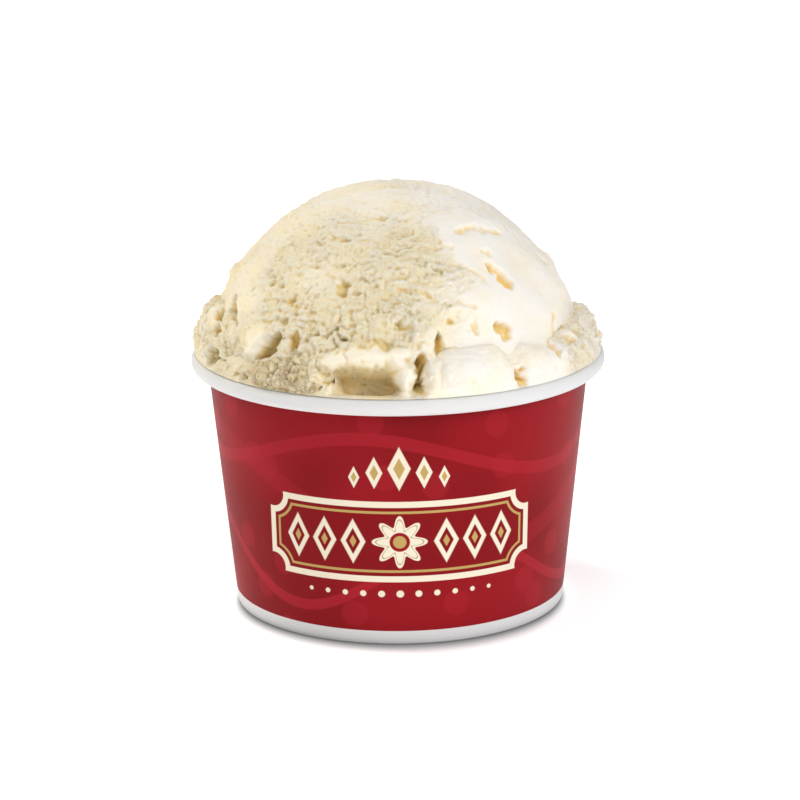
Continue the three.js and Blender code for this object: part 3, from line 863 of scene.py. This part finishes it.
def collar_at(azimuth):
    """The collar's crest, reach, lean and tear at each azimuth, eased between the entries."""
    known = np.concatenate([COLLAR[:, 0], [COLLAR[0, 0] + 360]])
    turn = (np.asarray(azimuth, float) - known[0]) % 360 + known[0]
    place = np.clip(np.searchsorted(known, turn, side="right") - 1, 0, len(COLLAR) - 1)
    t = smooth(0, 1, (turn - known[place]) / (known[place + 1] - known[place]))[..., None]
    values = np.concatenate([COLLAR[:, 1:], COLLAR[:1, 1:]])
    return np.moveaxis(values[place] * (1 - t) + values[place + 1] * t, -1, 0)


def collar_place(azimuth, height):
    return placed(collar_at(azimuth)[1], azimuth, height)


def face_points(azimuth, share):
    """Radius and height on the collar's undisturbed face, from its edge on the rim, at a share of
    0, to its crest, at 1: a Bezier curve that bulges to its reach."""
    crest, reach, lean, _ = collar_at(azimuth)
    edge_r, edge_z = arc(bead, SEAT_RADIUS, SEAT_END, SEAT_END, 1)[0]
    to_ball = ball_radius(crest) - CREST_SINK - reach + CREST_SETBACK
    crest_r = reach - CREST_SETBACK + lean * to_ball
    brow_r = reach + BROW_OUT + lean * (crest_r + BROW_SETBACK - reach - BROW_OUT)
    rise = crest - edge_z
    heights = edge_z, edge_z + BULGE_SHARE * rise, edge_z + BROW_SHARE * rise, crest
    return bezier(share, edge_r, reach, brow_r, crest_r), bezier(share, *heights)


def collar_face(azimuth, height):
    """The place on the undisturbed face at a height, by trying shares of the way up it."""
    radius, tried = face_points(azimuth, np.linspace(0, 1, 60))
    nearest = np.argmin(np.abs(tried - height))
    return placed(radius[nearest], azimuth, tried[nearest])


def waves(points):
    return sum(height * wave(points, length, seed) for length, height, seed in WAVES)


def crowded(columns):
    """Azimuths round the cup, set closer together at the front, where the grain is seen nearest."""
    t = np.linspace(-0.5, 0.5, columns + 1)[:-1]
    return 360 * (t - FRONT_CROWDING * np.sin(2 * np.pi * t) / (2 * np.pi))


def blurred(values, reach):
    """Mean over a square of rows and columns, the columns joining round."""
    wide = np.concatenate([values[:, -reach:], values, values[:, :reach]], 1)
    tall = np.concatenate([wide[:1]] * reach + [wide] + [wide[-1:]] * reach, 0)
    sums = np.pad(tall.cumsum(0).cumsum(1), ((1, 0), (1, 0)))
    n = 2 * reach + 1
    box = sums[n:, n:] - sums[:-n, n:] - sums[n:, :-n] + sums[:-n, :-n]
    return box / n**2


def granules(points, length, seed):
    """Packed rounded grains: 1 at each grain's middle, falling to about 0 between grains."""
    cell = np.floor(points / length)
    nearest = np.full(points.shape[:-1], 9.0)
    for corner in np.ndindex(3, 3, 3):
        near = cell + np.array(corner) - 1
        jitter = np.stack([lattice_value(near, seed + axis) for axis in range(3)], -1)
        middle = near + 0.5 + 0.4 * jitter
        nearest = np.minimum(nearest, ((points / length - middle) ** 2).sum(-1))
    return 1 - 1.2 * np.sqrt(nearest)


def torn_detail(points, along, torn, craggy, crumbly):
    """Fine relief in millimetres, where along runs up the surface. Flakes lie in courses like
    shingles, each rising to a lower edge that breaks off, and only in patches. Slits open where a
    wave drawn out sideways passes a level. Granules and grain cover all. A coarse wave bends them.
    The last two numbers of a wave or of granules are their length in millimetres and a seed."""
    bend = BEND * np.stack([wave(points, 4.2, seed) for seed in (21, 22, 23)], -1)
    bent = points + bend
    course = along / COURSE_HEIGHT + 0.9 * wave(points, 8, 51) + 0.5 * wave(points, 2.6, 52)
    part = course - np.floor(course)
    flakes = (1 - part) * smooth(0, 0.2, part) * smooth(-0.15, 0.4, wave(bent, 3.4, 53))
    sideways = np.stack([0.5 * bent[..., 0], 0.5 * bent[..., 1], along + bend[..., 2]], -1)
    slits = smooth(0.25, 0.85, wave(sideways, 1.15, 34) + 0.6 * wave(points, 0.9, 35))
    folds = np.abs(wave(bent * (0.6, 0.6, 1.0), 3.3, 33))
    grain = 0.2 * wave(points, 1.2, 31) + 0.17 * wave(points, 0.75, 32)
    fine = 0.7 * flakes + 0.45 * folds + 0.3 * granules(bent, 1.3, 61) + grain - FINE_SETBACK
    crags = 1.3 * np.abs(wave(bent, 3.6, 37)) + np.abs(wave(bent, 1.9, 38)) - CRAG_SETBACK
    crumbs = 1.6 * granules(bent, 1.8, 71) + 0.9 * granules(points, 1.05, 81) - CRUMB_SETBACK
    whole = torn * TORN_HEIGHT * fine - SLIT_DEPTH * torn * slits + craggy * crags
    return (1 - crumbly) * whole + crumbly * crumbs


def ball_tear(points):
    """How torn the ball is: in patches, nearly 1 over its left and middle, less at the right and
    the back, and least where the scoop left it smooth."""
    patchy = 0.55 + 0.4 * wave(points, 17, 41) + 0.25 * wave(points, 7, 42)
    right = smooth(-8, 32, points[..., 0] - 0.35 * points[..., 1] - 12)
    back = smooth(-28, -8, points[..., 1])
    torn = (0.25 + 0.75 * patchy - 0.55 * right) * (1 - 0.4 * back)
    return np.clip(torn - 0.8 * patches(ragged(points), SCOOPED_SMOOTH, ball_place), 0.08, 1)


def ball_points():
    """The ball by azimuth and elevation from its centre. Its reach is that of a sphere drawn a
    little towards a square, pulled in below the lip, plus the relief. With the points come what
    cream_mesh takes: strokes, rise, torn and crumbly."""
    azimuth = crowded(BALL_COLUMNS)
    around = np.ones_like(azimuth)
    elevation = np.linspace(BALL_FOOT_ELEVATION, 90, BALL_ROWS)[:, None]
    n = BALL_SQUARENESS
    side, top = np.cos(np.radians(elevation)), np.sin(np.radians(elevation))
    reach = BALL_RADIUS * (np.abs(side) ** n + np.abs(top) ** n) ** (-1 / n)
    direction = placed(side * around, azimuth, top * around)
    points = BALL_CENTRE + reach[..., None] * direction
    tuck = smooth(0, TUCK_ANGLE, LIP_ELEVATION + LIP_LIFT * pocket(azimuth) - elevation)
    torn = ball_tear(points)
    along = BALL_RADIUS * np.radians(elevation) * around
    fine = torn_detail(points, along, torn, patches(points, CRAGGY, ball_place), 0)
    frayed = ragged(points)
    broken = np.clip(0.55 + 1.1 * wave(points * (1, 1, 0.6), 1.5, 95), 0, 1.3)
    strokes = stroke_rise(frayed, BALL_STROKES, ball_place)
    strokes = strokes + stroke_rise(frayed, BALL_CRAGS, ball_place) * broken
    rise = waves(points) + swell_rise(points, BALL_SWELLS, ball_place) + strokes + fine
    scale = 1 - TUCK_DEPTH * tuck + rise * (1 - TUCK_CALM * tuck) / reach
    shaped = BALL_CENTRE + (reach * scale)[..., None] * direction
    shaped[-1] = shaped[-1].mean(0)
    foot = np.broadcast_to(shaped[0].mean(0) * (0, 0, 1), shaped[:1].shape)
    # The crevice attribute gets painted shade wherever the ball tucks in under its lip
    relief = strokes - POCKET_PAINTED_SHADE * tuck, rise, torn, np.zeros(torn.shape)
    return np.concatenate([foot, shaped]), *(np.concatenate([part[:1], part]) for part in relief)


def collar_points():
    """The fill's section up the cup and over the rolled rim, then the collar's bulging face to its
    crest and down inside the ball, all by azimuth, with the relief pushed out from the collar's
    heart. With the points come what cream_mesh takes."""
    azimuth = crowded(COLLAR_COLUMNS)
    crest, _, _, torn = collar_at(azimuth)
    bottom, inner = BASE_HEIGHT + BOARD + GAP, BOARD + GAP
    fill = [(0, bottom), *((wall_radius(z) - inner, z) for z in (bottom, FILL_RING))]
    lower = np.concatenate([fill, arc(bead, SEAT_RADIUS, 180, SEAT_END, steps=12)])
    lower = placed(lower[:, :1], azimuth, lower[:, 1:])

    face_r, face_z = face_points(azimuth, np.linspace(0, 1, FACE_ROWS + 1)[1:, None])
    crest_r = face_r[-1]
    t = np.linspace(0, 1, INSIDE_ROWS + 1)[1:, None]
    inside_r = bezier(t, crest_r, crest_r - CREST_SETBACK, COLLAR_INNER_RADIUS)
    inside_z = bezier(t, crest, crest + CREST_ARCH, crest - COLLAR_INNER_DROP)
    section = np.stack([np.concatenate([face_r, inside_r]), np.concatenate([face_z, inside_z])], -1)
    surface = placed(section[..., 0], azimuth, section[..., 1])
    away = section - COLLAR_HEART
    away = away / np.linalg.norm(away, axis=-1, keepdims=True)

    frayed = ragged(surface)
    strokes = stroke_rise(frayed, COLLAR_STROKES, collar_place)
    strokes = strokes + stroke_rise(frayed, COLLAR_CRAGS, collar_face)
    lumps = torn * LUMP_HEIGHT * (np.abs(wave(surface, LUMP_LENGTH, LUMP_SEED)) - LUMP_BASE)
    torn = torn * (1 - CALMED * patches(frayed, COLLAR_SMOOTH, collar_face))
    crumbly = patches(surface, CRUMBLED, collar_place)
    craggy = patches(frayed, COLLAR_CRAGGY, collar_place)
    fine = torn_detail(surface, surface[..., 2], torn, craggy, crumbly)
    fade = np.minimum(1, np.arange(1, len(section) + 1) / FADE_ROWS)[:, None]
    rise = (waves(surface) + lumps + strokes + fine) * fade
    section = section + rise[..., None] * away

    # Nothing comes nearer to the rolled rim than its seat, or further out than the limit
    from_bead = np.minimum(section[..., 0], COLLAR_LIMIT) - bead[0], section[..., 1] - bead[1]
    off = np.maximum(1, SEAT_RADIUS / np.hypot(*from_bead))
    radius = np.minimum(bead[0] + from_bead[0] * off, COLLAR_LIMIT)
    upper = placed(radius, azimuth, bead[1] + from_bead[1] * off)
    axis = np.broadcast_to(np.array([0, 0, BALL_CENTRE[2]]), upper[:1].shape)
    quiet, end = np.zeros(lower.shape[:2]), np.zeros((1, len(azimuth)))
    # The crevice attribute gets painted shade across the pocket under the lip
    relief = strokes - POCKET_PAINTED_SHADE * pocket(azimuth), rise, torn, crumbly
    relief = [np.concatenate([quiet, part, end]) for part in relief]
    return np.concatenate([lower, upper, axis]), *relief


def cream_mesh(name, points, strokes, rise, torn, crumbly):
    """A grid mesh with five attributes: pit, how far each point lies under the mean of its
    neighbours; tip, how far it stands over them; crevice, how deep it lies in a stroke, plus the
    painted shade under the lip; torn, how torn the surface is; and crumbly, how far it has
    crumbled. The material paints pits, crevices and crumbled places with shade, tips with a
    highlight."""
    near, wide = blurred(rise, NEAR_REACH) - rise, blurred(rise, WIDE_REACH) - rise
    wide_pit = WIDE_WEIGHT * np.clip(wide / WIDE_DEPTH, 0, 1)
    attributes = {
        "pit": np.clip(near / NEAR_DEPTH, 0, 1) + wide_pit,
        "tip": np.clip(-near / NEAR_DEPTH, 0, 1) * (0.3 + 0.7 * torn),
        "crevice": np.clip(-strokes / CREVICE_DEPTH, 0, 1),
        "torn": torn,
        "crumbly": crumbly,
    }
    mesh = grid_mesh(name, points, ring=False)
    for label, values in attributes.items():
        flat = np.concatenate([values[0, :1], values[1:-1].ravel(), values[-1, :1]])
        paint_attribute(mesh, label, flat)
    return mesh


def paint_attribute(mesh, label, values):
    """Gives the mesh a number for each of its corners, which its material reads by the label."""
    attribute = mesh.attributes.new(label, "FLOAT", "POINT")
    attribute.data.foreach_set("value", values.astype(np.float32))


def vanilla():
    """Frozen vanilla cream. Torn places are a warmer yellow than smooth ones, with a painted
    highlight on their tips and on the grain's crests. The cream is also painted yellower on the
    left and whiter on the right and at the top, as painted light and shade. Pits, crevices, the
    grain's troughs and the pocket under the lip are painted darker and golden, a painted shade for
    light that gets into them only through the cream, and tan where it has crumbled, a painted shade
    between the grains."""
    smooth_cream = (0.93, 0.885, 0.81, 1)
    torn_cream = (0.985, 0.86, 0.59, 1)
    painted_highlight = (1.0, 0.96, 0.86, 1)
    gold = (0.9, 0.64, 0.2, 1)
    olive = (0.6, 0.47, 0.17, 1)
    tan = (0.46, 0.29, 0.14, 1)
    material, shader, place = new_paint("vanilla_ice_cream")
    pit, tip, crevice, torn, crumbly = (
        place.node("ShaderNodeAttribute", {"attribute_name": label}, None, "Fac")
        for label in ("pit", "tip", "crevice", "torn", "crumbly")
    )
    cloud, hue = place.noise(150, 3), place.noise(190, 1)
    grit, speck = place.noise(1250, 5, 0.65), place.noise(1000, 2)
    across, height = place.parts("XZ")

    grainy = torn.step(0.1, 0.75) * 0.97 + 0.03
    # The troughs of the grain's bump, which get painted shade
    low_grit = grit.step(0.45, 0.33) * grainy
    low_speck = speck.step(0.385, 0.31) * torn
    # Painted shade in pits, crevices, the pocket, the grain's troughs and crumbled places, and
    # random dark specks
    painted_shade_and_specks = pit * (crumbly * 0.5 + 0.38) + crevice * 0.5 + low_grit * 0.36 + low_speck * 0.5
    painted_shade_and_specks = (painted_shade_and_specks + crumbly * 0.24).maths("MINIMUM", 0.92)
    # Painted light and shade: yellower on the left, whiter on the right and at the top where the
    # lamps fall; also yellower where torn and in random clouds
    yellow = across.step(26, -8) * 0.65 + torn * 0.55 + cloud.step(0.42, 0.62) * 0.4
    yellow = (yellow - height.step(84, 98) * 0.35 - 0.2).maths("MINIMUM", 1.0, clamp=True)
    # Painted highlight: the colour goes whiter on tips and on the crests of the grain's bump
    highlight_share = (tip * 0.6 + grit.step(0.56, 0.7) * grainy * 0.7).maths("MINIMUM", 0.9)
    body = highlight_share.mix(yellow.mix(smooth_cream, torn_cream), painted_highlight)
    # The painted shade's hue: gold, and olive in patches on the left
    painted_shade = (hue.step(0.4, 0.62) * across.step(32, 4)).mix(gold, olive)
    feed(
        shader,
        Base_Color=painted_shade_and_specks.mix(body, crumbly.mix(painted_shade, tan)),
        Roughness=torn * 0.2 + grit * 0.15 + 0.42,
        Normal=(grit * grainy).bump(1.0, 0.0008),
        Subsurface_Weight=0.22,
        Subsurface_Radius=(1.0, 0.7, 0.35),
        Subsurface_Scale=0.001,
        Specular_IOR_Level=0.35,
    )
    shader.subsurface_method = "RANDOM_WALK"
    return material


cream_paint = vanilla()
collar_relief = collar_points()
for label, relief in (("scooped_ball", ball_points()), ("torn_collar", collar_relief)):
    stand(cream_mesh(label, *relief), cream_paint, "vanilla_ice_cream", "ice_cream")


# ------------------------------------------------------------------------------------------------
# Crumbs. Grains of the same cream that broke off where the collar has crumbled, frozen on where
# they lie, each partly sunk in it.

CRUMB_COUNT = 480
CRUMB_SEED = 12
CRUMB_LEAST, CRUMB_MOST = 0.35, 1.1
CRUMB_COLUMNS, CRUMB_ROWS = 7, 5
CRUMB_ROUGHNESS = 0.16
CRUMB_STRETCH = 0.75, 1.3
CRUMB_LIFT = 0.5
CRUMB_LEVEL = CUP_HEIGHT + 1.2
CRUMB_THRESHOLD, CRUMB_CROWDING = 0.15, 1.5
CRUMB_PIT = 0.7


def crumb_places(random):
    """Places drawn on the collar's grid, weighted by its faces' area and by how crumbled they are,
    and the way out of the surface there: the cross product of its two directions."""
    points, *_, crumbly = collar_relief
    across = np.roll(points, -1, 1) - points
    up = np.gradient(points, axis=0)
    out = np.cross(across, up)
    area = np.linalg.norm(out, axis=-1)
    out = out / np.maximum(area, 1e-9)[..., None]
    weight = area * np.clip(crumbly - CRUMB_THRESHOLD, 0, 1) ** CRUMB_CROWDING
    weight[points[..., 2] < CRUMB_LEVEL] = 0
    chance = (weight / weight.sum()).ravel()
    chosen = random.choice(weight.size, CRUMB_COUNT, False, chance)
    return points.reshape(-1, 3)[chosen], out.reshape(-1, 3)[chosen]


def crumb_mesh():
    """One ball of rings copied to every place, with its corners moved in and out at random,
    stretched by a random share along three axes and turned at random. A grain that would touch the
    rolled rim is left out."""
    random = np.random.default_rng(CRUMB_SEED)
    places, out = crumb_places(random)
    elevation = np.radians(np.linspace(-90, 90, CRUMB_ROWS))[1:-1, None]
    turn = np.radians(np.linspace(0, 360, CRUMB_COLUMNS + 1))[:-1]
    rings = np.cos(elevation) * np.cos(turn), np.cos(elevation) * np.sin(turn), np.sin(elevation)
    rings = np.stack(np.broadcast_arrays(*rings), -1).reshape(-1, 3)
    grain = np.concatenate([[(0, 0, -1)], rings, [(0, 0, 1)]])
    index = 1 + np.arange(len(rings)).reshape(CRUMB_ROWS - 2, CRUMB_COLUMNS)
    right = np.roll(index, -1, 1)
    foot = np.stack([np.zeros(CRUMB_COLUMNS, int), right[0], index[0]], -1)
    head = np.stack([np.full(CRUMB_COLUMNS, len(grain) - 1), index[-1], right[-1]], -1)
    lower = np.stack([index[:-1], right[:-1], right[1:]], -1).reshape(-1, 3)
    upper = np.stack([index[:-1], right[1:], index[1:]], -1).reshape(-1, 3)
    faces = np.concatenate([foot, lower, upper, head])

    radius = CRUMB_LEAST + (CRUMB_MOST - CRUMB_LEAST) * random.random(CRUMB_COUNT) ** 2
    dents = random.standard_normal((CRUMB_COUNT, len(grain), 1))
    corners = grain * (1 + CRUMB_ROUGHNESS * dents)
    corners = corners * random.uniform(*CRUMB_STRETCH, (CRUMB_COUNT, 1, 3))
    turns, _ = np.linalg.qr(random.standard_normal((CRUMB_COUNT, 3, 3)))
    turns[np.linalg.det(turns) < 0, 0] *= -1
    corners = np.einsum("nij,nkj->nki", turns, corners) * radius[:, None, None]
    corners = corners + (places + CRUMB_LIFT * radius[:, None] * out)[:, None]
    from_bead = np.hypot(corners[..., 0], corners[..., 1]) - bead[0], corners[..., 2] - bead[1]
    corners = corners[(np.hypot(*from_bead) > BEAD_RADIUS).all(1)]
    faces = faces + len(grain) * np.arange(len(corners))[:, None, None]
    mesh = bpy.data.meshes.new("loose_crumbs")
    mesh.from_pydata((corners.reshape(-1, 3) * MM).tolist(), [], faces.reshape(-1, 3).tolist())
    mesh.shade_smooth()
    attributes = {
        "torn": np.ones(len(corners)),
        # Each grain gets a random share of the pits' painted shade and of the tan shade painted
        # where cream crumbles
        "pit": CRUMB_PIT * random.random(len(corners)),
        "crumbly": random.uniform(0.3, 1.0, len(corners)),
    }
    for label, values in attributes.items():
        paint_attribute(mesh, label, np.repeat(values, len(grain)))
    return mesh


stand(crumb_mesh(), cream_paint, "vanilla_ice_cream", "ice_cream")
